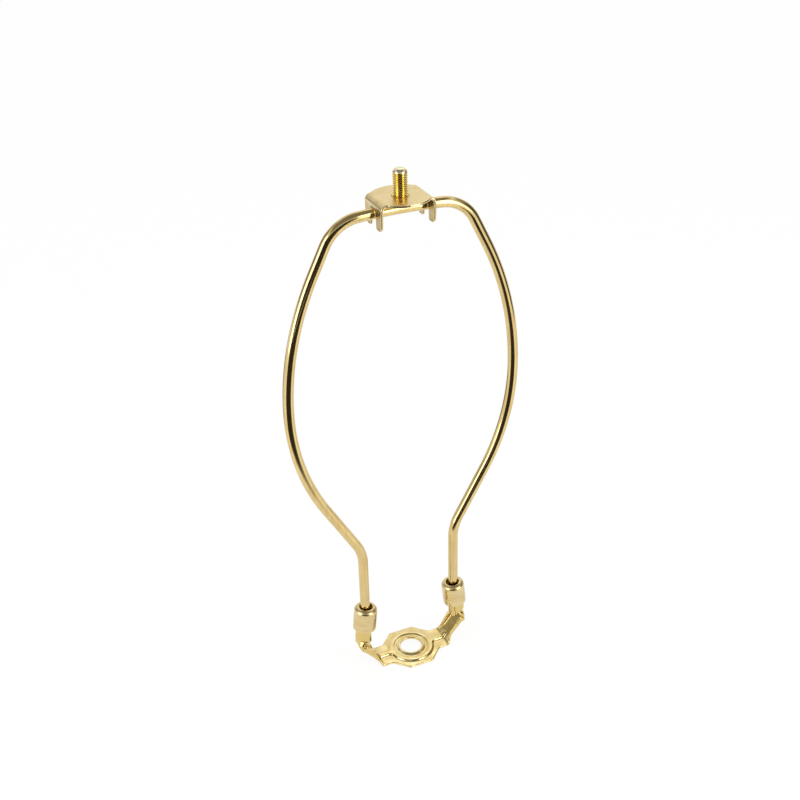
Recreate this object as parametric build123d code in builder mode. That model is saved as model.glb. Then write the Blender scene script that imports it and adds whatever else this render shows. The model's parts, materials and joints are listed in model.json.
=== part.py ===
from build123d import *
from math import atan2, cos, degrees, radians, sin, tan
import os

# A detachable lamp harp: a bent wire bow that carries a shade bracket with a threaded stud,
# and a stamped saddle whose two uprights hold the feet of the bow under two locking sleeves.
# Lengths are millimetres, angles are degrees. X runs across the bow, Z is up, and the origin
# lies at the centre of the saddle's hole, on the underside of its plate.

# Overall size, from the saddle's underside to the face that the shade rests on
harp_height = 241.3

# Wire bow, by its centreline
wire_d = 4.76
belly_half_width = 54.2
belly_z = 151.0
crown_half_span = 18.9
crown_fall = 4.2
corner_r = 18.0
shoulder_run = 12.8
lower_arc_r = 108.2
lower_lean = 29.4
leg_bend_r = 22.5
leg_x = 23.7
leg_end_z = 13.9
wire_end_chamfer = 0.4

# Shade bracket, stamped from sheet
bracket_sheet = 1.2
bracket_half_length = 12.3
bracket_half_width = 12.7
bracket_end_half_width = 8.7
bracket_bend_r = 1.5
prong_drop = 11.8
prong_tip_outer = 8.0
prong_tip_inner = 2.8
prong_outer_r = 2.6
prong_inner_r = 1.0
slot_clearance = 0.08

# Finial stud, its thread shown at full diameter
stud_d = 6.2
stud_shank_d = 7.0
stud_neck_d = 5.4
stud_neck_rise = 0.4
stud_rise = 11.4
stud_dome_rise = 1.5
stud_dome_d = 3.6
stud_tip_rise = 0.2
stud_dome_r = 2.2
stud_head_d = 10.4
stud_head_t = 1.9
stud_head_edge_r = 0.5
stud_clearance = 0.06

# Saddle, stamped from sheet: its plate
saddle_sheet = 1.2
seat_hole_d = 10.6
plate_half_depth = 13.5
plate_flat_half = 6.2
plate_corner_r = 1.0
waist_corner_r = 1.5
arm_half_width = 6.9
fold_x = 17.0
fold_r = 1.0
arm_rise = 50.0

# Raised disc of the saddle, with a dished ring around the hole and a rib along each arm
bead_rise = 0.8
bead_r = 11.4
bead_draft = 30.0
rib_width = 3.3
rib_blend_r = 2.0
rib_run = 1.4
crest_rise = 0.2
crest_r = 6.2
dip_depth = 0.5
dip_inner_r = 7.4
dip_outer_r = 8.3
dip_edge_r = 8.8
dish_band_r = 9.6
dish_round_r = 0.35

# Saddle arm: a trough that rises from the fold to the elbow
waist_run = 4.8
waist_floor = 2.7
waist_half_width = 5.2
waist_depth = 2.6
trough_run = 10.7
trough_floor = 3.0
trough_half_width = 5.2
trough_depth = 3.6
elbow_x = 28.1
elbow_z = 12.1
elbow_tilt = 48.0
elbow_half_width = 5.3
elbow_lip_half_width = 4.6
elbow_lip_depth = 3.5

# Saddle upright: a channel that leans inwards and holds the leg between its walls
channel_play = 0.17
channel_lean = 7.0
channel_back_x = 29.5
flare_floor = 1.6
flare_half_width = 4.4
flare_depth = 3.0
channel_low_z = 17.8
channel_low_depth = 6.2
channel_top_z = 33.4
channel_top_depth = 5.9

# Locking sleeves, drawn from sheet, with the lean and the rest heights seen in the photo
sleeve_d = 11.3
sleeve_wall = 0.7
sleeve_height = 12.3
sleeve_hole_d = 6.4
sleeve_shoulder_r = 2.2
sleeve_lean = 6.0
sleeve_rim_x = 24.6
sleeve_rim_z = 22.6
left_sleeve_lift = 0.8

os.makedirs("parts", exist_ok=True)


# Heights of the crown and of the bracket's plate
wire_r = wire_d / 2
plate_under_z = harp_height - bracket_sheet
stud_head_top_z = plate_under_z - stud_clearance
stud_head_under_z = stud_head_top_z - stud_head_t
crown_z = stud_head_under_z - stud_clearance - wire_r

# Radius and turn of each upper arc, so that belly, shoulder, corner and crown meet
crown_r = crown_half_span / sin(radians(crown_fall))
crown_rise = crown_r * (1 - cos(radians(crown_fall)))
arc_rise = crown_z - crown_rise - belly_z - corner_r * cos(radians(crown_fall))
arc_inset = belly_half_width - crown_half_span - corner_r * (1 - sin(radians(crown_fall)))
inner_arc_r = (arc_rise**2 + arc_inset**2 - shoulder_run**2) / (2 * arc_inset)
upper_arc_r = inner_arc_r + corner_r
upper_turn = atan2(arc_rise, inner_arc_r - arc_inset) - atan2(shoulder_run, inner_arc_r)
upper_lean = degrees(upper_turn)
corner_turn = 90 - crown_fall - upper_lean

# Straight run of each slant, so that the legs stand at their spacing
lower_sin = sin(radians(lower_lean))
lower_cos = cos(radians(lower_lean))
slant_run = (belly_half_width - leg_x - (lower_arc_r + leg_bend_r) * (1 - lower_cos)) / lower_sin
leg_top_z = belly_z - (lower_arc_r + leg_bend_r) * lower_sin - slant_run * lower_cos

# Wire bow: the right half from the crown down to the foot, then its mirror image
with BuildPart() as harp_wire:
    with BuildLine(Plane.XZ) as bow_path:
        crown = JernArc((0, crown_z), (1, 0), crown_r, -crown_fall)
        corner = JernArc(crown @ 1, crown % 1, corner_r, -corner_turn)
        shoulder = PolarLine(corner @ 1, shoulder_run, direction=corner % 1)
        upper_arc = JernArc(shoulder @ 1, shoulder % 1, upper_arc_r, -upper_lean)
        lower_arc = JernArc(upper_arc @ 1, upper_arc % 1, lower_arc_r, -lower_lean)
        slant = PolarLine(lower_arc @ 1, slant_run, direction=lower_arc % 1)
        leg_bend = JernArc(slant @ 1, slant % 1, leg_bend_r, lower_lean)
        leg = PolarLine(leg_bend @ 1, leg_top_z - leg_end_z, direction=leg_bend % 1)
        mirror(about=Plane.YZ)
    with BuildSketch(Plane((leg_x, 0, leg_end_z))):
        Circle(wire_r)
    sweep(path=bow_path.wires()[0])
    chamfer(harp_wire.faces().filter_by(GeomType.PLANE).edges(), wire_end_chamfer)
harp_wire.part.label = "harp_wire"
export_step(harp_wire.part, "parts/harp_wire.step")


# Shade bracket: a plate with bowed sides, folded down at both ends into forked flanges
bracket_outer_r = bracket_bend_r + bracket_sheet
flange_x = bracket_half_length - bracket_sheet
flange_top_z = harp_height - bracket_outer_r
flange_middle_x = bracket_half_length - bracket_sheet / 2
slot_r = wire_r + slot_clearance
slot_z = crown_z - crown_r + (crown_r**2 - flange_middle_x**2) ** 0.5
prong_tip_z = harp_height - prong_drop
with BuildPart() as shade_bracket:
    with BuildSketch(Plane.XY.offset(plate_under_z)):
        with BuildLine():
            plate_x = bracket_half_length - bracket_outer_r
            ThreePointArc(
                (-plate_x, bracket_end_half_width),
                (0, bracket_half_width),
                (plate_x, bracket_end_half_width),
            )
            Line((plate_x, bracket_end_half_width), (plate_x, 0))
            Line((-plate_x, bracket_end_half_width), (-plate_x, 0))
            mirror(about=Plane.XZ)
        make_face()
    extrude(amount=bracket_sheet)
    with BuildSketch(Plane.XZ):
        with BuildLine():
            outer = CenterArc((plate_x, flange_top_z), bracket_outer_r, 0, 90)
            inner = CenterArc((plate_x, flange_top_z), bracket_bend_r, 0, 90)
            Line(outer @ 0, inner @ 0)
            Line(outer @ 1, inner @ 1)
        make_face()
    extrude(amount=bracket_end_half_width, both=True)
    with BuildSketch(Plane.YZ.offset(flange_x)) as flange:
        with BuildLine():
            Polyline(
                (0, flange_top_z),
                (bracket_end_half_width, flange_top_z),
                (prong_tip_outer, prong_tip_z),
                (prong_tip_inner, prong_tip_z),
                (slot_r, slot_z),
            )
            CenterArc((0, slot_z), slot_r, 0, 90)
            mirror(about=Plane.YZ)
        make_face()
        tips = flange.vertices().group_by(Axis.Y)[0].sort_by(Axis.X)
        fillet([tips[0], tips[3]], prong_outer_r)
        tips = flange.vertices().group_by(Axis.Y)[0].sort_by(Axis.X)
        fillet([tips[1], tips[2]], prong_inner_r)
    extrude(amount=bracket_sheet)
    mirror(about=Plane.YZ)
    with Locations((0, 0, plate_under_z)):
        Cylinder(
            stud_shank_d / 2 + stud_clearance,
            3 * bracket_sheet,
            mode=Mode.SUBTRACT,
        )
shade_bracket.part.label = "shade_bracket"
export_step(shade_bracket.part, "parts/shade_bracket.step")


# Finial stud: its flat head is trapped between the bracket's plate and the wire
stud_r = stud_d / 2
stud_top_z = harp_height + stud_rise
with BuildPart() as finial_stud:
    with BuildSketch(Plane.XZ):
        with BuildLine():
            Polyline(
                (0, stud_head_under_z),
                (stud_head_d / 2, stud_head_under_z),
                (stud_head_d / 2, stud_head_top_z),
                (stud_shank_d / 2, stud_head_top_z),
                (stud_shank_d / 2, harp_height),
                (stud_neck_d / 2, harp_height),
                (stud_neck_d / 2, harp_height + stud_neck_rise),
                (stud_r, harp_height + stud_neck_rise),
                (stud_r, stud_top_z - stud_dome_rise),
            )
            RadiusArc(
                (stud_r, stud_top_z - stud_dome_rise),
                (stud_dome_d / 2, stud_top_z - stud_tip_rise),
                -stud_dome_r,
            )
            Polyline((stud_dome_d / 2, stud_top_z - stud_tip_rise), (0, stud_top_z), (0, stud_head_under_z))
        make_face()
    revolve(axis=Axis.Z)
    head_rims = finial_stud.edges().filter_by(GeomType.CIRCLE).sort_by(SortBy.RADIUS)[-2:]
    fillet(head_rims, stud_head_edge_r)
finial_stud.part.label = "finial_stud"
export_step(finial_stud.part, "parts/finial_stud.step")


# Locking sleeves: plain drawn caps that lean on their legs, because their holes are wide
sleeve_r = sleeve_d / 2
sleeve_bore_r = sleeve_r - sleeve_wall
sleeve_base = Vector(sleeve_rim_x, 0, sleeve_rim_z)
sleeve_up = Vector(-sin(radians(sleeve_lean)), 0, cos(radians(sleeve_lean)))
sleeve_across = Vector(cos(radians(sleeve_lean)), 0, sin(radians(sleeve_lean)))
shoulder_z = sleeve_height - sleeve_shoulder_r
inner_shoulder_r = sleeve_shoulder_r - sleeve_wall
with BuildPart() as right_sleeve:
    with BuildSketch(Plane(sleeve_base, x_dir=sleeve_across, z_dir=(0, -1, 0))):
        with BuildLine():
            hole_top = (sleeve_hole_d / 2, sleeve_height)
            hole_under = (sleeve_hole_d / 2, sleeve_height - sleeve_wall)
            outer_side = Line((sleeve_r, 0), (sleeve_r, shoulder_z))
            outer_round = JernArc(outer_side @ 1, (0, 1), sleeve_shoulder_r, 90)
            Polyline(outer_round @ 1, hole_top, hole_under)
            inner_side = Line((sleeve_bore_r, 0), (sleeve_bore_r, shoulder_z))
            inner_round = JernArc(inner_side @ 1, (0, 1), inner_shoulder_r, 90)
            Line(inner_round @ 1, hole_under)
            Line(inner_side @ 0, outer_side @ 0)
        make_face()
    revolve(axis=Axis(sleeve_base, sleeve_up))
right_sleeve.part.label = "right_sleeve"
export_step(right_sleeve.part, "parts/right_sleeve.step")

with BuildPart() as left_sleeve:
    add(Pos(0, 0, left_sleeve_lift) * right_sleeve.part)
    mirror(about=Plane.YZ, mode=Mode.REPLACE)
left_sleeve.part.label = "left_sleeve"
export_step(left_sleeve.part, "parts/left_sleeve.step")


# Raised disc and ribs of the saddle; their hollows underneath are narrower by the sheet's turn
hollow_inset = saddle_sheet * tan(radians((90 - bead_draft) / 2))
slope_up = Vector(cos(radians(arm_rise)), 0, sin(radians(arm_rise)))
slope_normal = Vector(-sin(radians(arm_rise)), 0, cos(radians(arm_rise)))
rib_sink = 0.3


def raised_disc(base_z, inset):
    """Raised disc with the straight parts of both ribs, standing on the given level."""
    with BuildPart() as disc:
        with BuildSketch(Plane.XY.offset(base_z)) as outline:
            Circle(bead_r - inset)
            Rectangle(2 * (fold_x + rib_width), rib_width - 2 * inset)
            joints = outline.vertices().filter_by_position(Axis.X, -bead_r, bead_r)
            fillet(joints, rib_blend_r + inset)
        extrude(amount=bead_rise, taper=bead_draft)
        split(bisect_by=Plane.YZ.offset(fold_x), keep=Keep.BOTTOM)
        split(bisect_by=Plane.YZ.offset(-fold_x), keep=Keep.TOP)
    return disc.part


def rib_end(base_z, bend_r, inset):
    """Rib that follows the fold at its own bend radius and ends rounded on the slope."""
    half = rib_width / 2 - inset
    top_half = half - bead_rise * tan(radians(bead_draft))
    with BuildPart() as rib:
        with BuildLine(Plane.XZ) as path:
            bend = JernArc((fold_x, base_z), (1, 0), bend_r, arm_rise)
            slope = PolarLine(bend @ 1, rib_run, direction=bend % 1)
        with BuildSketch(Plane((fold_x, 0, base_z), x_dir=(0, 1, 0), z_dir=(1, 0, 0))):
            with BuildLine():
                Polyline(
                    (-half, -rib_sink),
                    (half, -rib_sink),
                    (half, 0),
                    (top_half, bead_rise),
                    (-top_half, bead_rise),
                    (-half, 0),
                    close=True,
                )
            make_face()
        sweep(path=path.wires()[0])
        tip = Plane(slope @ 1, x_dir=(0, 1, 0), z_dir=slope_normal)
        with BuildSketch(tip):
            Circle(half)
        extrude(amount=-rib_sink)
        with BuildSketch(tip):
            Circle(half)
        extrude(amount=bead_rise, taper=bead_draft)
    return rib.part


def below(points, sheet):
    """Points of the same bent line on the sheet's other face, one sheet further down."""
    corners = [Vector(*point) for point in points]
    moved = []
    for index, corner in enumerate(corners):
        before = corners[max(index - 1, 0)], corners[max(index, 1)]
        after = corners[min(index, len(corners) - 2)], corners[min(index + 1, len(corners) - 1)]
        normals = []
        for start, end in (before, after):
            run = (end - start).normalized()
            normals.append(Vector(run.Y, -run.X))
        share = sheet / (1 + normals[0].dot(normals[1]))
        place = corner + (normals[0] + normals[1]) * share
        moved.append((place.X, place.Y))
    return moved


# Dish of the saddle: a crest around the hole, a dip and the band that meets the raised disc
band_z = saddle_sheet + bead_rise
dish_points = [
    (seat_hole_d / 2, band_z + crest_rise),
    (crest_r, band_z + crest_rise),
    (dip_inner_r, band_z - dip_depth),
    (dip_outer_r, band_z - dip_depth),
    (dip_edge_r, band_z),
    (dish_band_r, band_z),
]
with BuildPart() as dish:
    with BuildSketch(Plane.XZ):
        with BuildLine():
            dish_top = FilletPolyline(*dish_points, radius=dish_round_r)
            dish_under = FilletPolyline(*below(dish_points, saddle_sheet), radius=dish_round_r)
            Line(dish_top @ 0, dish_under @ 0)
            Line(dish_top @ 1, dish_under @ 1)
        make_face()
    revolve(axis=Axis.Z)


# Sections of the saddle's arm, each on a place whose X runs across the strip and Y into its bend;
# they are made of loose edges, because a sketch would merge the arcs that the elbow splits
def across(origin, along):
    """Place for a section of the arm at the given outer point, square to the given direction."""
    return Plane(origin, x_dir=(0, 1, 0), z_dir=along)


def strip(place, outer_half, inner_half, side_bulge=None):
    """Section of the strip from the right halves of its outer and inner lines.

    Each half is a floor corner and a lip; where a bulge is given, it is the pair of points
    that the arcs of the outer and inner side pass between corner and lip.
    """
    edges = []
    for half, bulge in zip((outer_half, inner_half), side_bulge or (None, None)):
        (floor, floor_depth), (lip, lip_depth) = half
        edges.append(Line((-floor, floor_depth), (floor, floor_depth)))
        for side in (1, -1):
            ends = (side * floor, floor_depth), (side * lip, lip_depth)
            if bulge:
                edges.append(ThreePointArc(ends[0], (side * bulge[0], bulge[1]), ends[1]))
            else:
                edges.append(Line(*ends))
    for side in (1, -1):
        outer_lip, inner_lip = outer_half[1], inner_half[1]
        edges.append(Line((side * outer_lip[0], outer_lip[1]), (side * inner_lip[0], inner_lip[1])))
    return place * Face(Wire(edges))


def flat_strip(place, half_width, floor):
    """Section of the flat strip, with corners where the trough's floor will end."""
    outer = (floor, 0), (half_width, 0)
    inner = (floor, saddle_sheet), (half_width, saddle_sheet)
    return strip(place, outer, inner)


def trough_strip(place, floor, half_width, depth):
    """Section of the strip with a flat floor and sides that curl up to its lips."""
    outer_r = ((half_width - floor) ** 2 + depth**2) / (2 * depth)
    inner_r = outer_r - saddle_sheet
    turn = 2 * atan2(depth, half_width - floor)
    halves = []
    bulges = []
    for radius in (outer_r, inner_r):
        lip = (floor + radius * sin(turn), outer_r - radius * cos(turn))
        halves.append(((floor, outer_r - radius), lip))
        bulges.append((floor + radius * sin(turn / 2), outer_r - radius * cos(turn / 2)))
    return strip(place, halves[0], halves[1], bulges)


def cornered_strip(place, corner, lip):
    """Section of the strip with a flat floor to the corner and a straight wall to the lip."""
    wall = (lip - corner).normalized()
    inner_lip = lip + Vector(-wall.Y, wall.X) * saddle_sheet
    inner_corner = inner_lip - wall * ((inner_lip.Y - saddle_sheet) / wall.Y)
    outer = (corner.X, corner.Y), (lip.X, lip.Y)
    inner = (inner_corner.X, inner_corner.Y), (inner_lip.X, inner_lip.Y)
    return strip(place, outer, inner)


def channel_strip(place, outer_r, depth):
    """Section of the strip as a channel with a round back and straight walls to its lips."""
    edges = []
    for radius in (outer_r, outer_r - saddle_sheet):
        edges.append(CenterArc((0, outer_r), radius, 180, 180))
        edges.append(Line((radius, outer_r), (radius, depth)))
        edges.append(Line((-radius, outer_r), (-radius, depth)))
    for side in (1, -1):
        edges.append(Line((side * outer_r, depth), (side * (outer_r - saddle_sheet), depth)))
    return place * Face(Wire(edges))


# Saddle: plate, folds, troughs, elbows and channels from one sheet
fold_outer_r = fold_r + saddle_sheet
fold_end = Vector(fold_x, 0, fold_outer_r) - slope_normal * fold_outer_r
elbow_along = Vector(cos(radians(elbow_tilt)), 0, sin(radians(elbow_tilt)))
elbow_point = Vector(elbow_x, 0, elbow_z)
elbow_place = across(elbow_point, elbow_along)
channel_up = Vector(-sin(radians(channel_lean)), 0, cos(radians(channel_lean)))
channel_r = wire_r + channel_play + saddle_sheet
channel_low = Vector(channel_back_x, 0, channel_low_z)
channel_top = channel_low + channel_up * ((channel_top_z - channel_low_z) / channel_up.Z)
trough_sections = [
    flat_strip(across(fold_end, slope_up), arm_half_width, arm_half_width / 2),
    trough_strip(
        across(fold_end + slope_up * waist_run, slope_up),
        waist_floor,
        waist_half_width,
        waist_depth,
    ),
    trough_strip(
        across(fold_end + slope_up * trough_run, slope_up),
        trough_floor,
        trough_half_width,
        trough_depth,
    ),
    cornered_strip(
        elbow_place,
        Vector(elbow_half_width, 0),
        Vector(elbow_lip_half_width, elbow_lip_depth),
    ),
]
upright_sections = [
    flat_strip(elbow_place, elbow_half_width, elbow_half_width / 2),
    trough_strip(
        across((elbow_point + channel_low) / 2, elbow_along + channel_up),
        flare_floor,
        flare_half_width,
        flare_depth,
    ),
    channel_strip(across(channel_low, channel_up), channel_r, channel_low_depth),
    channel_strip(across(channel_top, channel_up), channel_r, channel_top_depth),
]
with BuildPart() as saddle:
    with BuildSketch(Plane.XZ):
        with BuildLine():
            fold_outer = CenterArc((fold_x, fold_outer_r), fold_outer_r, -90, arm_rise)
            fold_inner = CenterArc((fold_x, fold_outer_r), fold_r, -90, arm_rise)
            Line(fold_outer @ 0, fold_inner @ 0)
            Line(fold_outer @ 1, fold_inner @ 1)
        make_face()
    extrude(amount=arm_half_width, both=True)
    loft(sections=trough_sections[0:2])
    loft(sections=trough_sections[1:3])
    loft(sections=trough_sections[2:4])
    loft(sections=upright_sections[:3])
    loft(sections=upright_sections[2:])
    add(rib_end(saddle_sheet, fold_r, 0))
    add(rib_end(0, fold_r + saddle_sheet, hollow_inset), mode=Mode.SUBTRACT)
    mirror(about=Plane.YZ)
    with BuildSketch() as plate_outline:
        with BuildLine():
            slant_x = plate_flat_half + plate_half_depth - arm_half_width
            Polyline(
                (0, plate_half_depth),
                (plate_flat_half, plate_half_depth),
                (slant_x, arm_half_width),
                (fold_x, arm_half_width),
                (fold_x, 0),
            )
            mirror(about=Plane.XZ)
            mirror(about=Plane.YZ)
        make_face()
        flats = plate_outline.vertices().filter_by_position(
            Axis.X, -plate_flat_half - 1, plate_flat_half + 1
        )
        fillet(flats, plate_corner_r)
        waists = plate_outline.vertices().filter_by_position(
            Axis.Y, -arm_half_width - 0.01, arm_half_width + 0.01
        )
        fillet(waists.filter_by_position(Axis.X, -slant_x - 0.01, slant_x + 0.01), waist_corner_r)
    extrude(amount=saddle_sheet)
    add(raised_disc(saddle_sheet, 0))
    add(raised_disc(0, hollow_inset), mode=Mode.SUBTRACT)
    Cylinder(dish_band_r, 5 * saddle_sheet, mode=Mode.SUBTRACT)
    add(dish.part)
saddle.part.label = "saddle"
export_step(saddle.part, "parts/saddle.step")
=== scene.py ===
import json
from math import atan2, cos, pi, radians, sin

import bpy
from mathutils import Matrix, Vector

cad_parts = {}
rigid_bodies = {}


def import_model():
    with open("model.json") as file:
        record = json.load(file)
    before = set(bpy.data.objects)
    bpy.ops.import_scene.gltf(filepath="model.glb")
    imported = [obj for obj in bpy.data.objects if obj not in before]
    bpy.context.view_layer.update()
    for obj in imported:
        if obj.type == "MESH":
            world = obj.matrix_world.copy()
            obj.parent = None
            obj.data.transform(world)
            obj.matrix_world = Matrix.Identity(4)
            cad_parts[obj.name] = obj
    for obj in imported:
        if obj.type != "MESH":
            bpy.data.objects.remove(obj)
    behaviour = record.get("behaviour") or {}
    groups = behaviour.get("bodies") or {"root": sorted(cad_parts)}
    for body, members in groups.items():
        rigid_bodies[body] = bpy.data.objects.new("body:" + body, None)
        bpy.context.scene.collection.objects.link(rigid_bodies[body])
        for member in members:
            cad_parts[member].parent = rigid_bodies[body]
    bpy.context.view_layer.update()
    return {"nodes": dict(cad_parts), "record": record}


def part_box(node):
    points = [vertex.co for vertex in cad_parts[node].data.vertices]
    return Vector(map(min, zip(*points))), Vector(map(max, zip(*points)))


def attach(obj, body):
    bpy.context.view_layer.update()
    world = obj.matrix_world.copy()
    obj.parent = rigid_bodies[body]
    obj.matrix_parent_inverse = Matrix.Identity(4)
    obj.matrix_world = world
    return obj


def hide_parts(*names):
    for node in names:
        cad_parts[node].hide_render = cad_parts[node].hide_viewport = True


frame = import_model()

MM = 0.001

# Sizes of the harp as its solids have them, in millimetres and degrees
harp_height = 241.3
wire_d = 4.76
crown_z = 235.7
crown_half_span = 18.9
crown_fall = 4.2
corner_r = 18.0
shoulder_run = 12.8
belly_half_width = 54.2
belly_z = 151.0
lower_arc_r = 108.2
lower_lean = 29.4
leg_bend_r = 22.5
leg_x = 23.7
leg_end_z = 13.9
wire_end_chamfer = 0.4

sleeve_d = 11.3
sleeve_wall = 0.7
sleeve_height = 12.3
sleeve_hole_d = 6.4
sleeve_shoulder_r = 2.2
sleeve_lean = 6.0
sleeve_rim_x = 24.6
sleeve_rim_z = 22.6
left_sleeve_lift = 0.8

stud_head_d = 10.4
stud_head_t = 1.9
stud_shank_d = 7.0
stud_neck_rise = 0.4
stud_dome_rise = 1.5
stud_dome_r = 2.2
stud_dome_arc = (20.3, 69.7)
thread_d = 6.2

# Details as the visual model has them, in millimetres: the thread of 27 turns to the inch, the bevel of
# the stud's head, the rolled lip of the sleeve's hole and the broken edge of its rim
thread_pitch = 0.94
thread_depth = 0.42
ridge_sink = 0.3
thread_start_gap = 0.05
thread_end_gap = 0.08
thread_skin = 0.02
stud_head_edge = 0.4
sleeve_lip_r = 0.4
sleeve_rim_edge = 0.12

# Sides of the round pieces
wire_sides = 40
sleeve_sides = 96
stud_sides = 64

# Points closer than this, in millimetres, are one point
same_point = 0.001
same_point_spun = 0.002
same_point_mirrored = 0.05


# Colour and node helpers


def linear(hex_colour):
    """Linear colour of an sRGB hex value."""
    channels = [int(hex_colour[i:i + 2], 16) / 255 for i in (1, 3, 5)]
    turned = [c / 12.92 if c <= 0.04045 else ((c + 0.055) / 1.055) ** 2.4 for c in channels]
    return (*turned, 1.0)


def add_node(tree, kind, links=None, **settings):
    """Adds a node, sets its inputs or properties and links its inputs to other sockets."""
    made = tree.nodes.new(kind)
    for name, value in settings.items():
        if name in made.inputs:
            made.inputs[name].default_value = value
        else:
            setattr(made, name, value)
    for name, socket in (links or {}).items():
        tree.links.new(socket, made.inputs[name])
    return made


def new_material(name):
    """Empty node material with its principled shader."""
    material = bpy.data.materials.new(name)
    material.use_nodes = True
    shader = material.node_tree.nodes["Principled BSDF"]
    return material, material.node_tree, shader


def place_in_mm(tree):
    """Object coordinates in millimetres."""
    where = add_node(tree, "ShaderNodeTexCoord")
    grown = add_node(tree, "ShaderNodeVectorMath", {0: where.outputs["Object"]}, operation="SCALE")
    grown.inputs["Scale"].default_value = 1 / MM
    return grown.outputs["Vector"]


# Brass finishes

# Noise values between which the two golds of a finish blend, the share of its lines in that noise, and
# the range over which the roughness follows it
blend_range = (0.34, 0.66)
line_share = 0.6
gloss_range = (0.8, 1.25)


def plated_brass(name, light, deep, roughness, cloud_mm, lines=None, wave_mm=0.0, wave_depth=0.0):
    """Polished brass plate on steel: two close golds in soft clouds of the given size, and in fine lines
    from drawing, turning or wiping. Lines gives their number to the millimetre along X, Y and Z. Waves
    are the shallow dents of pressed sheet, with their size and depth in millimetres."""
    material, tree, shader = new_material(name)
    place = place_in_mm(tree)
    clouds = add_node(tree, "ShaderNodeTexNoise", {"Vector": place}, Scale=1 / cloud_mm, Detail=3.0)
    tone = clouds.outputs["Fac"]
    if lines:
        stretched = add_node(tree, "ShaderNodeMapping", {"Vector": place}, Scale=lines)
        line_place = {"Vector": stretched.outputs["Vector"]}
        grooves = add_node(tree, "ShaderNodeTexNoise", line_place, Scale=1.0, Detail=2.0)
        both = add_node(tree, "ShaderNodeMix", {"A": tone, "B": grooves.outputs["Fac"]})
        both.inputs["Factor"].default_value = line_share
        tone = both.outputs["Result"]
    spread = add_node(tree, "ShaderNodeMapRange", {"Value": tone})
    spread.inputs["From Min"].default_value = blend_range[0]
    spread.inputs["From Max"].default_value = blend_range[1]
    tint = add_node(tree, "ShaderNodeMix", {"Factor": spread.outputs["Result"]}, data_type="RGBA")
    tint.inputs["A"].default_value = linear(light)
    tint.inputs["B"].default_value = linear(deep)
    tree.links.new(tint.outputs["Result"], shader.inputs["Base Color"])
    shader.inputs["Metallic"].default_value = 1.0
    gloss = add_node(tree, "ShaderNodeMapRange", {"Value": spread.outputs["Result"]})
    gloss.inputs["To Min"].default_value = roughness * gloss_range[0]
    gloss.inputs["To Max"].default_value = roughness * gloss_range[1]
    tree.links.new(gloss.outputs["Result"], shader.inputs["Roughness"])
    if wave_mm:
        waves = add_node(tree, "ShaderNodeTexNoise", {"Vector": place}, Scale=1 / wave_mm, Detail=0.5)
        dents = {"Height": waves.outputs["Fac"]}
        bump = add_node(tree, "ShaderNodeBump", dents, Distance=wave_depth * MM)
        tree.links.new(bump.outputs["Normal"], shader.inputs["Normal"])
    return material


def second_gold(material, axis, start, finish, colour):
    """Another gold where the distance along one axis, in millimetres, passes from start to finish."""
    tree = material.node_tree
    shader = tree.nodes["Principled BSDF"]
    first = shader.inputs["Base Color"].links[0].from_socket
    sides = add_node(tree, "ShaderNodeSeparateXYZ", {"Vector": place_in_mm(tree)})
    outward = add_node(tree, "ShaderNodeMath", {0: sides.outputs[axis]}, operation="ABSOLUTE")
    share = add_node(tree, "ShaderNodeMapRange", {"Value": outward.outputs["Value"]})
    share.inputs["From Min"].default_value = start
    share.inputs["From Max"].default_value = finish
    blend = {"Factor": share.outputs["Result"], "A": first}
    golds = add_node(tree, "ShaderNodeMix", blend, data_type="RGBA")
    golds.inputs["B"].default_value = linear(colour)
    tree.links.new(golds.outputs["Result"], shader.inputs["Base Color"])


# Drawn steel wire with a bright brass plate: mirror bands along the wire, softened by the streaks of the
# die. The real streaks are hundredths of a millimetre wide and 1 mm here, the least that shows.
wire_brass = plated_brass(
    "drawn_wire_brass", "#DFC991", "#CFB479", roughness=0.12, cloud_mm=9.0, lines=(1.0, 1.0, 0.05)
)

# Folded sheet with a satin brass plate, wiped lengthwise: a pale even sheen with blurred mirror images.
# The wiping lines are drawn 1.4 mm wide and 12 mm long, far coarser than real ones.
bracket_brass = plated_brass(
    "satin_plate_brass", "#EEDBA8", "#E2CC97", roughness=0.3, cloud_mm=6.0, lines=(0.08, 0.7, 0.7),
    wave_mm=6.0, wave_depth=0.06,
)

# Turned brass of a deeper gold, which darkens further where the flanks of the thread mirror each other
stud_brass = plated_brass("turned_stud_brass", "#F1DB8C", "#DFBF62", roughness=0.16, cloud_mm=3.0)
# The dome above the thread is painted a paler gold: a painted highlight where its top catches the light
second_gold(stud_brass, "Z", 250.6, 251.5, "#F4E8C4")

# Deep-drawn caps, polished while they turn: level rings that stretch each highlight around the cap. The
# rings are 0.8 mm apart, because polishing rings of a few hundredths would be lost.
sleeve_brass = plated_brass(
    "turned_cap_brass", "#E4D09D", "#D4BA83", roughness=0.25, cloud_mm=5.0, lines=(0.06, 0.06, 1.2)
)
ring_way = add_node(sleeve_brass.node_tree, "ShaderNodeTangent", direction_type="RADIAL", axis="Z")
cap_shader = sleeve_brass.node_tree.nodes["Principled BSDF"]
cap_shader.inputs["Anisotropic"].default_value = 0.75
sleeve_brass.node_tree.links.new(ring_way.outputs["Tangent"], cap_shader.inputs["Tangent"])

# Stamped sheet, polished in a barrel: soft mirror images that waver where the press left shallow dents
# about 7 mm across
saddle_brass = plated_brass(
    "stamped_sheet_brass", "#F2E1AB", "#E0C98B", roughness=0.2, cloud_mm=5.0, wave_mm=7.0, wave_depth=0.4
)
# The sloped arms and the channels outside the plate are painted a deeper gold than the plate: painted shade
# where they turn away from the light
second_gold(saddle_brass, "X", 16, 20, "#DCC27B")


# Modelling helpers


def deselect_all():
    """Leaves no object selected or active."""
    for other in bpy.context.scene.objects:
        other.select_set(False)
    bpy.context.view_layer.objects.active = None


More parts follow.
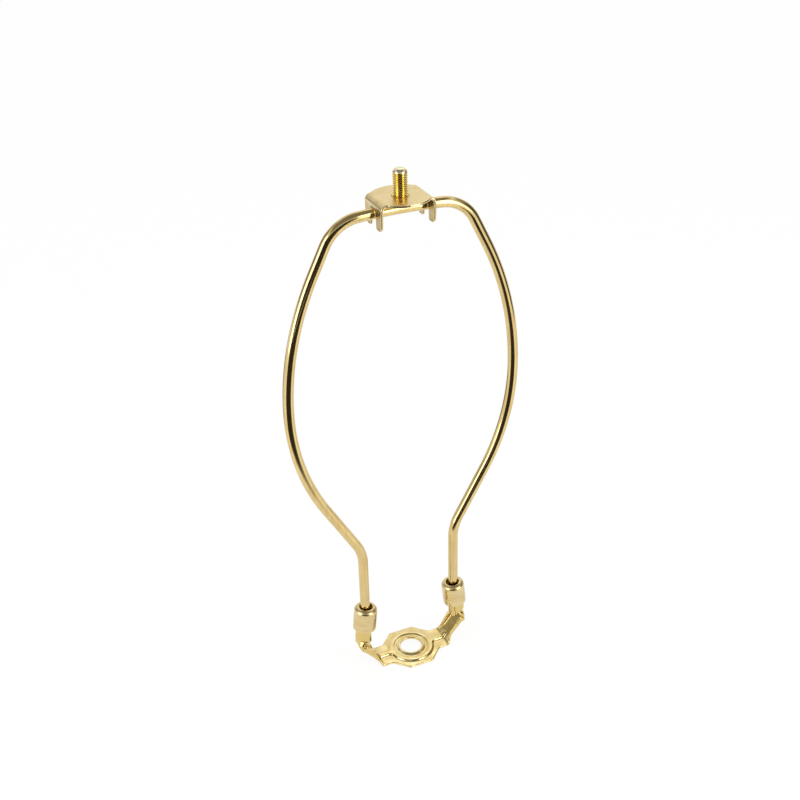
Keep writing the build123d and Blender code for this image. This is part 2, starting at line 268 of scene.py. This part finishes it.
def start_on(obj):
    """Selects one object alone and makes it active."""
    deselect_all()
    obj.select_set(True)
    bpy.context.view_layer.objects.active = obj


def apply_modifier(obj, kind, **settings):
    """Adds one modifier, sets it and applies it."""
    start_on(obj)
    made = obj.modifiers.new(kind.title(), kind)
    for name, value in settings.items():
        setattr(made, name, value)
    bpy.ops.object.modifier_apply(modifier=made.name)


nodes_of_body = frame["record"]["behaviour"]["bodies"]
body_of_node = {node: body for body, nodes in nodes_of_body.items() for node in nodes}


def finish_piece(obj, name, node, material, smooth_angle):
    """Names the piece, applies its place, gives it its finish and lets it stand for its node. Faces that
    meet at less than the angle, in degrees, are shaded as one."""
    start_on(obj)
    bpy.ops.object.transform_apply(location=True, rotation=True, scale=True)
    bpy.ops.object.shade_smooth_by_angle(angle=radians(smooth_angle))
    obj.name = name
    obj.data.name = name
    obj.data.materials.clear()
    obj.data.materials.append(material)
    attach(obj, body_of_node[node])
    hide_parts(node)


def close_copy(node):
    """Copy of a CAD node as one closed mesh, its doubled points merged."""
    source = frame["nodes"][node]
    copy = bpy.data.objects.new(node + "_copy", source.data.copy())
    bpy.context.scene.collection.objects.link(copy)
    start_on(copy)
    bpy.ops.object.mode_set(mode="EDIT")
    bpy.ops.mesh.select_all(action="SELECT")
    bpy.ops.mesh.remove_doubles(threshold=same_point_spun * MM)
    bpy.ops.mesh.customdata_custom_splitnormals_clear()
    bpy.ops.object.mode_set(mode="OBJECT")
    return copy


def line_of_points(points, name):
    """Open line through the points, in millimetres, drawn in the XZ plane by extruding one point."""
    deselect_all()
    bpy.ops.mesh.primitive_plane_add(size=MM)
    line = bpy.context.active_object
    line.name = name
    bpy.ops.object.mode_set(mode="EDIT")
    bpy.ops.mesh.select_all(action="SELECT")
    bpy.ops.mesh.merge(type="CENTER")
    bpy.ops.transform.translate(value=(points[0][0] * MM, 0, points[0][1] * MM))
    for before, after in zip(points, points[1:]):
        step = ((after[0] - before[0]) * MM, 0, (after[1] - before[1]) * MM)
        bpy.ops.mesh.extrude_region_move(TRANSFORM_OT_translate={"value": step})
    bpy.ops.object.mode_set(mode="OBJECT")
    return line


def spin_closed(line, sides):
    """Turns a line whose ends lie on the axis, or meet, into a closed round body."""
    start_on(line)
    bpy.ops.object.mode_set(mode="EDIT")
    bpy.ops.mesh.select_all(action="SELECT")
    bpy.ops.mesh.spin(steps=sides, angle=2 * pi, center=(0, 0, 0), axis=(0, 0, 1))
    bpy.ops.mesh.select_all(action="SELECT")
    bpy.ops.mesh.remove_doubles(threshold=same_point_spun * MM)
    bpy.ops.mesh.normals_make_consistent(inside=False)
    bpy.ops.object.mode_set(mode="OBJECT")


# Stamped pieces


def stamped_sheet(node, material, name, voxel, passes, keep):
    """Stamped piece from its solid: a fine remesh whose corners are rolled by smoothing passes, as a
    press leaves them. Keep is the share of its faces that stays."""
    sheet = close_copy(node)
    apply_modifier(sheet, "REMESH", mode="VOXEL", voxel_size=voxel * MM)
    apply_modifier(sheet, "SMOOTH", factor=0.5, iterations=passes)
    apply_modifier(sheet, "DECIMATE", ratio=keep)
    finish_piece(sheet, name, node, material, smooth_angle=60)


# Wire bow: a circle at the right foot is drawn out, and spun around the centre of every bend


def arc_centre(point, heading, radius, side):
    """Centre of a bend that starts at the point; the side is 1 for a left turn, seen from -Y."""
    return Vector((point.x - side * radius * sin(heading), 0, point.z + side * radius * cos(heading)))


def build_wire():
    """Half of the bow from the right foot to the middle of the crown, and its mirror image."""
    deselect_all()
    wire_r = wire_d / 2
    bpy.ops.mesh.primitive_circle_add(
        vertices=wire_sides,
        radius=(wire_r - wire_end_chamfer) * MM,
        fill_type="NGON",
        location=(leg_x * MM, 0, leg_end_z * MM),
    )
    wire = bpy.context.active_object
    bpy.ops.object.transform_apply(location=True, rotation=True, scale=True)
    bpy.ops.object.mode_set(mode="EDIT")
    bpy.ops.mesh.select_all(action="SELECT")
    bpy.ops.mesh.flip_normals()
    bpy.ops.mesh.extrude_region_move(TRANSFORM_OT_translate={"value": (0, 0, wire_end_chamfer * MM)})
    grow = wire_r / (wire_r - wire_end_chamfer)
    bpy.ops.transform.resize(value=(grow, grow, 1), center_override=(leg_x * MM, 0, 0))

    # The slant and the upper arc follow from the places of the legs, the belly and the crown
    point = Vector((leg_x, 0, leg_end_z + wire_end_chamfer))
    heading = radians(90)
    lean = radians(lower_lean)
    fall = radians(crown_fall)
    slant_run = (belly_half_width - leg_x - (lower_arc_r + leg_bend_r) * (1 - cos(lean))) / sin(lean)
    leg_top = belly_z - (lower_arc_r + leg_bend_r) * sin(lean) - slant_run * cos(lean)
    crown_r = crown_half_span / sin(fall)
    rise = crown_z - crown_r * (1 - cos(fall)) - belly_z - corner_r * cos(fall)
    inset = belly_half_width - crown_half_span - corner_r * (1 - sin(fall))
    inner_r = (rise**2 + inset**2 - shoulder_run**2) / (2 * inset)
    upper_turn = atan2(rise, inner_r - inset) - atan2(shoulder_run, inner_r)
    corner_turn = radians(90 - crown_fall) - upper_turn
    # A run has its length, and a bend its radius, its turn and its number of steps
    runs = [
        ("run", leg_top - point.z),
        ("bend", leg_bend_r, -lean, 10),
        ("run", slant_run),
        ("bend", lower_arc_r, lean, 22),
        ("bend", inner_r + corner_r, upper_turn, 26),
        ("run", shoulder_run),
        ("bend", corner_r, corner_turn, 18),
        ("bend", crown_r, fall, 6),
    ]
    for run in runs:
        if run[0] == "run":
            step = Vector((cos(heading), 0, sin(heading))) * run[1]
            bpy.ops.mesh.extrude_region_move(TRANSFORM_OT_translate={"value": step * MM})
            point += step
            continue
        radius, turn, steps = run[1:]
        side = 1 if turn > 0 else -1
        centre = arc_centre(point, heading, radius, side)
        bpy.ops.mesh.spin(steps=steps, angle=turn, center=centre * MM, axis=(0, 1, 0))
        arm = point - centre
        swing = Matrix.Rotation(-turn, 3, "Y")
        point = centre + swing @ arm
        heading += turn
    bpy.ops.mesh.delete(type="ONLY_FACE")
    bpy.ops.object.mode_set(mode="OBJECT")
    apply_modifier(wire, "MIRROR", merge_threshold=same_point_mirrored * MM)
    start_on(wire)
    bpy.ops.object.mode_set(mode="EDIT")
    bpy.ops.mesh.select_all(action="SELECT")
    bpy.ops.mesh.remove_doubles(threshold=same_point * MM)
    bpy.ops.mesh.normals_make_consistent(inside=False)
    bpy.ops.object.mode_set(mode="OBJECT")
    finish_piece(wire, "bow_wire", "harp_wire", wire_brass, smooth_angle=35)


# Locking sleeves: the cap's wall is drawn as a closed line and spun


def build_sleeve(name, node, side, lift):
    """One cap over its channel; the side is 1 for the right leg and -1 for the left one."""
    sleeve_r = sleeve_d / 2
    bore_r = sleeve_r - sleeve_wall
    hole_r = sleeve_hole_d / 2
    top = sleeve_height
    edge = sleeve_rim_edge
    outline = [(bore_r, edge), (bore_r + edge, 0), (sleeve_r - edge, 0), (sleeve_r, edge)]
    outline.append((sleeve_r, top - sleeve_shoulder_r))
    shoulder_steps = 10
    for i in range(1, shoulder_steps + 1):
        turn = radians(90 * i / shoulder_steps)
        x = sleeve_r - sleeve_shoulder_r * (1 - cos(turn))
        outline.append((x, top - sleeve_shoulder_r * (1 - sin(turn))))
    lip_steps = 5
    for i in range(lip_steps + 1):
        turn = radians(90 * i / lip_steps)
        outline.append((hole_r + sleeve_lip_r * (1 - sin(turn)), top - sleeve_lip_r * (1 - cos(turn))))
    outline.append((hole_r, top - sleeve_wall))
    inner_r = sleeve_shoulder_r - sleeve_wall
    for i in range(shoulder_steps, -1, -1):
        turn = radians(90 * i / shoulder_steps)
        x = bore_r - inner_r * (1 - cos(turn))
        outline.append((x, top - sleeve_wall - inner_r * (1 - sin(turn))))
    sleeve = line_of_points(outline, name)
    start_on(sleeve)
    bpy.ops.object.mode_set(mode="EDIT")
    bpy.ops.mesh.select_all(action="SELECT")
    bpy.ops.mesh.remove_doubles(threshold=same_point * MM)
    bpy.ops.mesh.edge_face_add()
    bpy.ops.mesh.delete(type="ONLY_FACE")
    bpy.ops.object.mode_set(mode="OBJECT")
    spin_closed(sleeve, sleeve_sides)
    sleeve.rotation_euler = (0, -side * radians(sleeve_lean), 0)
    sleeve.location = (side * sleeve_rim_x * MM, 0, (sleeve_rim_z + lift) * MM)
    finish_piece(sleeve, name, node, sleeve_brass, smooth_angle=35)


# Finial stud: a blank turned as one outline, and a thread wound on it by the Screw modifier


def stud_outline(head_under, dome_foot, tip, thread_r, root_r):
    """Half outline of the blank, from the middle of the head to the tip of the dome."""
    head_r = stud_head_d / 2
    head_top = head_under + stud_head_t
    edge = stud_head_edge
    outline = [(0, head_under), (head_r - edge, head_under), (head_r, head_under + edge)]
    outline += [(head_r, head_top - edge), (head_r - edge, head_top), (stud_shank_d / 2, head_top)]
    outline += [(stud_shank_d / 2, harp_height), (root_r, harp_height), (root_r, dome_foot - thread_depth)]
    start, finish = stud_dome_arc
    centre_r = thread_r - stud_dome_r * cos(radians(start))
    centre_z = dome_foot - stud_dome_r * sin(radians(start))
    dome_steps = 8
    for i in range(dome_steps + 1):
        turn = radians(start + (finish - start) * i / dome_steps)
        outline.append((centre_r + stud_dome_r * cos(turn), centre_z + stud_dome_r * sin(turn)))
    outline.append((0, tip))
    return outline


def wound_ridge(dome_foot, thread_r, root_r):
    """Ridge of the thread as a closed coil, cut off inside the envelope of the threaded length."""
    flat = thread_pitch / 8
    flank = (thread_pitch - 2 * flat) / 2
    foot = harp_height + stud_neck_rise - thread_pitch
    sunk_r = root_r - ridge_sink
    ridge = [(sunk_r, foot), (root_r, foot), (thread_r, foot + flank), (thread_r, foot + flank + flat)]
    ridge += [(root_r, foot + 2 * flank + flat), (sunk_r, foot + 2 * flank + flat)]
    thread = line_of_points(ridge, "stud_thread")
    start_on(thread)
    bpy.ops.object.mode_set(mode="EDIT")
    bpy.ops.mesh.select_all(action="SELECT")
    bpy.ops.mesh.edge_face_add()
    bpy.ops.object.mode_set(mode="OBJECT")
    apply_modifier(
        thread,
        "SCREW",
        steps=stud_sides,
        render_steps=stud_sides,
        iterations=int((dome_foot - foot) / thread_pitch) + 1,
        screw_offset=thread_pitch * MM,
        use_merge_vertices=True,
        merge_threshold=same_point * MM,
    )
    # The coil's open end gets its face
    start_on(thread)
    bpy.ops.object.mode_set(mode="EDIT")
    bpy.ops.mesh.select_all(action="SELECT")
    bpy.ops.mesh.remove_doubles(threshold=same_point * MM)
    bpy.ops.mesh.select_all(action="DESELECT")
    bpy.ops.mesh.select_non_manifold(extend=False)
    bpy.ops.mesh.edge_face_add()
    bpy.ops.mesh.select_all(action="SELECT")
    bpy.ops.mesh.normals_make_consistent(inside=False)
    bpy.ops.object.mode_set(mode="OBJECT")

    bottom = harp_height + thread_start_gap
    top = dome_foot - thread_end_gap
    skin_r = thread_r + thread_skin
    envelope = [(0, bottom), (root_r, bottom), (skin_r, bottom + skin_r - root_r), (skin_r, top), (0, top)]
    skin = line_of_points(envelope, "stud_envelope")
    spin_closed(skin, stud_sides)
    apply_modifier(thread, "BOOLEAN", operation="INTERSECT", object=skin, solver="EXACT")
    bpy.data.objects.remove(skin)
    return thread


def build_stud():
    """Stud blank with head, shank and dome, and the ridge of its thread joined to it."""
    low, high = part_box("finial_stud")
    tip = high[2] / MM
    dome_foot = tip - stud_dome_rise
    thread_r = thread_d / 2
    root_r = thread_r - thread_depth
    stud = line_of_points(stud_outline(low[2] / MM, dome_foot, tip, thread_r, root_r), "stud_blank")
    spin_closed(stud, stud_sides)
    thread = wound_ridge(dome_foot, thread_r, root_r)
    apply_modifier(stud, "BOOLEAN", operation="UNION", object=thread, solver="EXACT", use_self=True)
    bpy.data.objects.remove(thread)
    finish_piece(stud, "threaded_stud", "finial_stud", stud_brass, smooth_angle=30)


build_wire()
build_sleeve("right_cap", "right_sleeve", side=1, lift=0)
build_sleeve("left_cap", "left_sleeve", side=-1, lift=left_sleeve_lift)
stamped_sheet("saddle", saddle_brass, "stamped_saddle", voxel=0.2, passes=24, keep=0.6)
stamped_sheet("shade_bracket", bracket_brass, "folded_bracket", voxel=0.13, passes=66, keep=0.5)
build_stud()


# Stage: pale floor and white surroundings

# Share of plain white in what the camera and the metal see of the floor, and the level of the
# surroundings as light and as background
floor_glow_share = 0.9
surround_light = 0.9
surround_white = 1.0
floor_size = 6.0

# Matt white studio floor: nearly white to the camera and to the metal, with the object's soft shadow
floor_material, floor_tree, floor_shader = new_material("pale_floor")
floor_shader.inputs["Base Color"].default_value = linear("#FAFAF8")
floor_shader.inputs["Roughness"].default_value = 0.9
floor_glow = add_node(floor_tree, "ShaderNodeEmission", Color=(1, 1, 1, 1), Strength=1.0)
floor_rays = add_node(floor_tree, "ShaderNodeLightPath")
floor_seen = add_node(
    floor_tree,
    "ShaderNodeMath",
    {0: floor_rays.outputs["Is Camera Ray"], 1: floor_rays.outputs["Is Glossy Ray"]},
    operation="MAXIMUM",
)
floor_share = add_node(floor_tree, "ShaderNodeMath", {0: floor_seen.outputs["Value"]}, operation="MULTIPLY")
floor_share.inputs[1].default_value = floor_glow_share
floor_mix = add_node(
    floor_tree,
    "ShaderNodeMixShader",
    {0: floor_share.outputs["Value"], 1: floor_shader.outputs["BSDF"], 2: floor_glow.outputs["Emission"]},
)
floor_tree.links.new(floor_mix.outputs["Shader"], floor_tree.nodes["Material Output"].inputs["Surface"])

deselect_all()
bpy.ops.mesh.primitive_plane_add(size=floor_size, location=(0, 0, 0))
floor = bpy.context.active_object
floor.name = "studio_floor"
floor.data.materials.append(floor_material)


def board_material(name, level, colour="#FFFBF2", edge=0.16):
    """Painted studio board of one level, as the bright metal mirrors it; its rim fades out over the edge,
    a share of the board's width."""
    material, tree, shader = new_material(name)
    glow = add_node(tree, "ShaderNodeEmission", Color=linear(colour), Strength=level)
    place = add_node(tree, "ShaderNodeTexCoord")
    sized = add_node(tree, "ShaderNodeVectorMath", {0: place.outputs["Object"]}, operation="ABSOLUTE")
    sides = add_node(tree, "ShaderNodeSeparateXYZ", {"Vector": sized.outputs["Vector"]})
    across = {0: sides.outputs["X"], 1: sides.outputs["Y"]}
    outer = add_node(tree, "ShaderNodeMath", across, operation="MAXIMUM")
    from_rim = {"Value": outer.outputs["Value"]}
    fade = add_node(tree, "ShaderNodeMapRange", from_rim, interpolation_type="SMOOTHSTEP")
    fade.inputs["From Min"].default_value = 0.5
    fade.inputs["From Max"].default_value = 0.5 - edge
    clear = add_node(tree, "ShaderNodeBsdfTransparent")
    face = {0: fade.outputs["Result"], 1: clear.outputs["BSDF"], 2: glow.outputs["Emission"]}
    body = add_node(tree, "ShaderNodeMixShader", face)
    tree.links.new(body.outputs["Shader"], tree.nodes["Material Output"].inputs["Surface"])
    return material


dark_board = board_material("black_board", 0.035, edge=0.08)
pale_board = board_material("pale_board", 0.88)
umber_board = board_material("umber_board", 0.08)
grey_board = board_material("grey_board", 0.37)
mat_board = board_material("mat_board", 0.27)
pool_glow = board_material("pool_glow", 1.25, "#FFFAF0", 0.3)
ceiling_board = board_material("ceiling_board", 0.27)
back_glow = board_material("back_glow_board", 1.6, "#FFFAF0", 0.3)

world = bpy.data.worlds.new("white_studio")
bpy.context.scene.world = world
world.use_nodes = True
sky = world.node_tree
sky_glow = sky.nodes["Background"]
sky_glow.inputs["Color"].default_value = (1, 1, 1, 1)
sky_rays = add_node(sky, "ShaderNodeLightPath")
sky_seen = add_node(
    sky,
    "ShaderNodeMath",
    {0: sky_rays.outputs["Is Camera Ray"], 1: sky_rays.outputs["Is Glossy Ray"]},
    operation="MAXIMUM",
)
sky_level = add_node(sky, "ShaderNodeMapRange", {"Value": sky_seen.outputs["Value"]})
sky_level.inputs["To Min"].default_value = surround_light
sky_level.inputs["To Max"].default_value = surround_white
sky.links.new(sky_level.outputs["Result"], sky_glow.inputs["Strength"])


# Lamps, boards and mats outside the picture, which give the polished metal its bright and dark bands.
# Turns run in degrees from the back over the right, and rises above level; lengths are metres.

middle = Vector((0, 0, 0.12))


def direction(turn, rise):
    """Unit direction from the object."""
    turn, rise = radians(turn), radians(rise)
    return Vector((sin(turn) * cos(rise), cos(turn) * cos(rise), sin(rise)))


def aim_at_middle(obj, turn, rise, distance):
    """Puts a lamp or board at its distance and turns it towards the object's middle."""
    obj.location = middle + direction(turn, rise) * distance
    obj.rotation_euler = (middle - obj.location).to_track_quat("-Z", "Y").to_euler()


def soft_lamp(name, turn, rise, distance, size, glow):
    """Soft box whose face shines at the given level, whatever its size."""
    lamp_data = bpy.data.lights.new(name, "AREA")
    lamp_data.shape = "RECTANGLE"
    lamp_data.size = size[0]
    lamp_data.size_y = size[1]
    lamp_data.energy = glow * pi * size[0] * size[1]
    lamp = bpy.data.objects.new(name, lamp_data)
    bpy.context.scene.collection.objects.link(lamp)
    aim_at_middle(lamp, turn, rise, distance)


def hide_from_camera(made):
    """Leaves a board to the metal's mirror alone."""
    made.visible_camera = False
    made.visible_diffuse = False
    made.visible_shadow = False


def board(name, turn, rise, distance, size, material):
    """Board that is turned towards the object."""
    deselect_all()
    bpy.ops.mesh.primitive_plane_add(size=1.0)
    made = bpy.context.active_object
    made.name = name
    made.scale = (size[0], size[1], 1)
    aim_at_middle(made, turn, rise, distance)
    made.data.materials.append(material)
    hide_from_camera(made)


def floor_wedge(name, turn, near, length, near_width, far_width, height, material):
    """Mat on the floor, wider away from the object."""
    deselect_all()
    middle_y = near + length / 2
    bpy.ops.mesh.primitive_plane_add(size=1.0, location=(0, middle_y, height))
    wedge = bpy.context.active_object
    wedge.name = name
    wedge.scale = (far_width, length, 1)
    bpy.ops.object.mode_set(mode="EDIT")
    bpy.ops.mesh.select_all(action="DESELECT")
    bpy.ops.object.mode_set(mode="OBJECT")
    for point in wedge.data.vertices:
        point.select = point.co.y < 0
    bpy.ops.object.mode_set(mode="EDIT")
    bpy.ops.transform.resize(value=(near_width / far_width, 1, 1), center_override=(0, 0, 0))
    bpy.ops.object.mode_set(mode="OBJECT")
    wedge.location = direction(turn, 0) * middle_y + Vector((0, 0, height))
    wedge.rotation_euler = (0, 0, -radians(turn))
    wedge.data.materials.append(material)
    hide_from_camera(wedge)


# White line down the left of each wire, and white band along the front of the crown
soft_lamp("left_soft_box", 259, 14, 1.0, (0.45, 0.95), glow=3.0)
soft_lamp("right_soft_box", 150, 17, 1.0, (0.43, 1.02), glow=3.1)

# Dark band down the middle of each wire
board("camera_wall", 201, 6, 1.1, (1.8, 1.15), dark_board)
# Olive and brown at the right edge of each wire
board("right_wall", 88, 20, 0.95, (1.1, 1.0), grey_board)
board("right_flag", 106, 5, 0.5, (0.38, 0.6), umber_board)
# Olive of the right trough and of the wires' left edge
board("left_back_wall", 314, 24, 1.1, (1.3, 1.1), grey_board)
# Brown line on top of the crown
board("ceiling", 190, 78, 0.9, (1.7, 1.7), ceiling_board)
# Pale sheen of the flat plates, brighter in front
board("back_wall", 15, 33, 1.2, (1.3, 1.0), pale_board)
board("back_glow", 34, 46, 0.9, (0.55, 0.36), back_glow)
# Darkest core of the band
board("camera_flag", 185, 6, 0.33, (0.13, 0.44), dark_board)
# Darker and lighter streak in the trough
board("left_back_flag", 322, 8, 0.9, (0.26, 0.3), mat_board)
board("left_back_card", 336, 27, 0.9, (0.22, 0.22), pale_board)

# The dark band goes on down the slants, the prongs turn greyish, and both sides of the band stay bright
floor_wedge("dark_mat", 203.3, 0.108, 0.92, 0.3, 1.55, 0.001, dark_board)
floor_wedge("left_back_mat", 337, 0.22, 0.42, 0.2, 0.45, 0.0012, mat_board)
floor_wedge("left_light_pool", 254, 0.035, 0.6, 0.09, 0.45, 0.0005, pool_glow)
floor_wedge("right_light_pool", 146, 0.035, 0.6, 0.09, 0.4, 0.0007, pool_glow)


# Camera, fitted to the photograph: place in millimetres, angles in degrees

focal_px = 1164.1
image_px = 800
camera_place = Vector((-179.0, -410.6, 405.5))
camera_turn = radians(23.262)
camera_fall = radians(30.131)
camera_roll = radians(-1.499)

camera_data = bpy.data.cameras.new("camera")
camera_data.sensor_width = 36
camera_data.lens = focal_px / image_px * camera_data.sensor_width
camera_data.clip_start = 0.01
camera = bpy.data.objects.new("camera", camera_data)
bpy.context.scene.collection.objects.link(camera)
ahead = cos(camera_fall)
forward = Vector((sin(camera_turn) * ahead, cos(camera_turn) * ahead, -sin(camera_fall)))
level = Vector((cos(camera_turn), -sin(camera_turn), 0))
above = level.cross(forward)
right_side = level * cos(camera_roll) + above * sin(camera_roll)
upward = above * cos(camera_roll) - level * sin(camera_roll)
pose = Matrix((right_side, upward, -forward)).transposed().to_4x4()
pose.translation = camera_place * MM
camera.matrix_world = pose
bpy.context.scene.camera = camera

bpy.context.scene.view_settings.view_transform = "Standard"
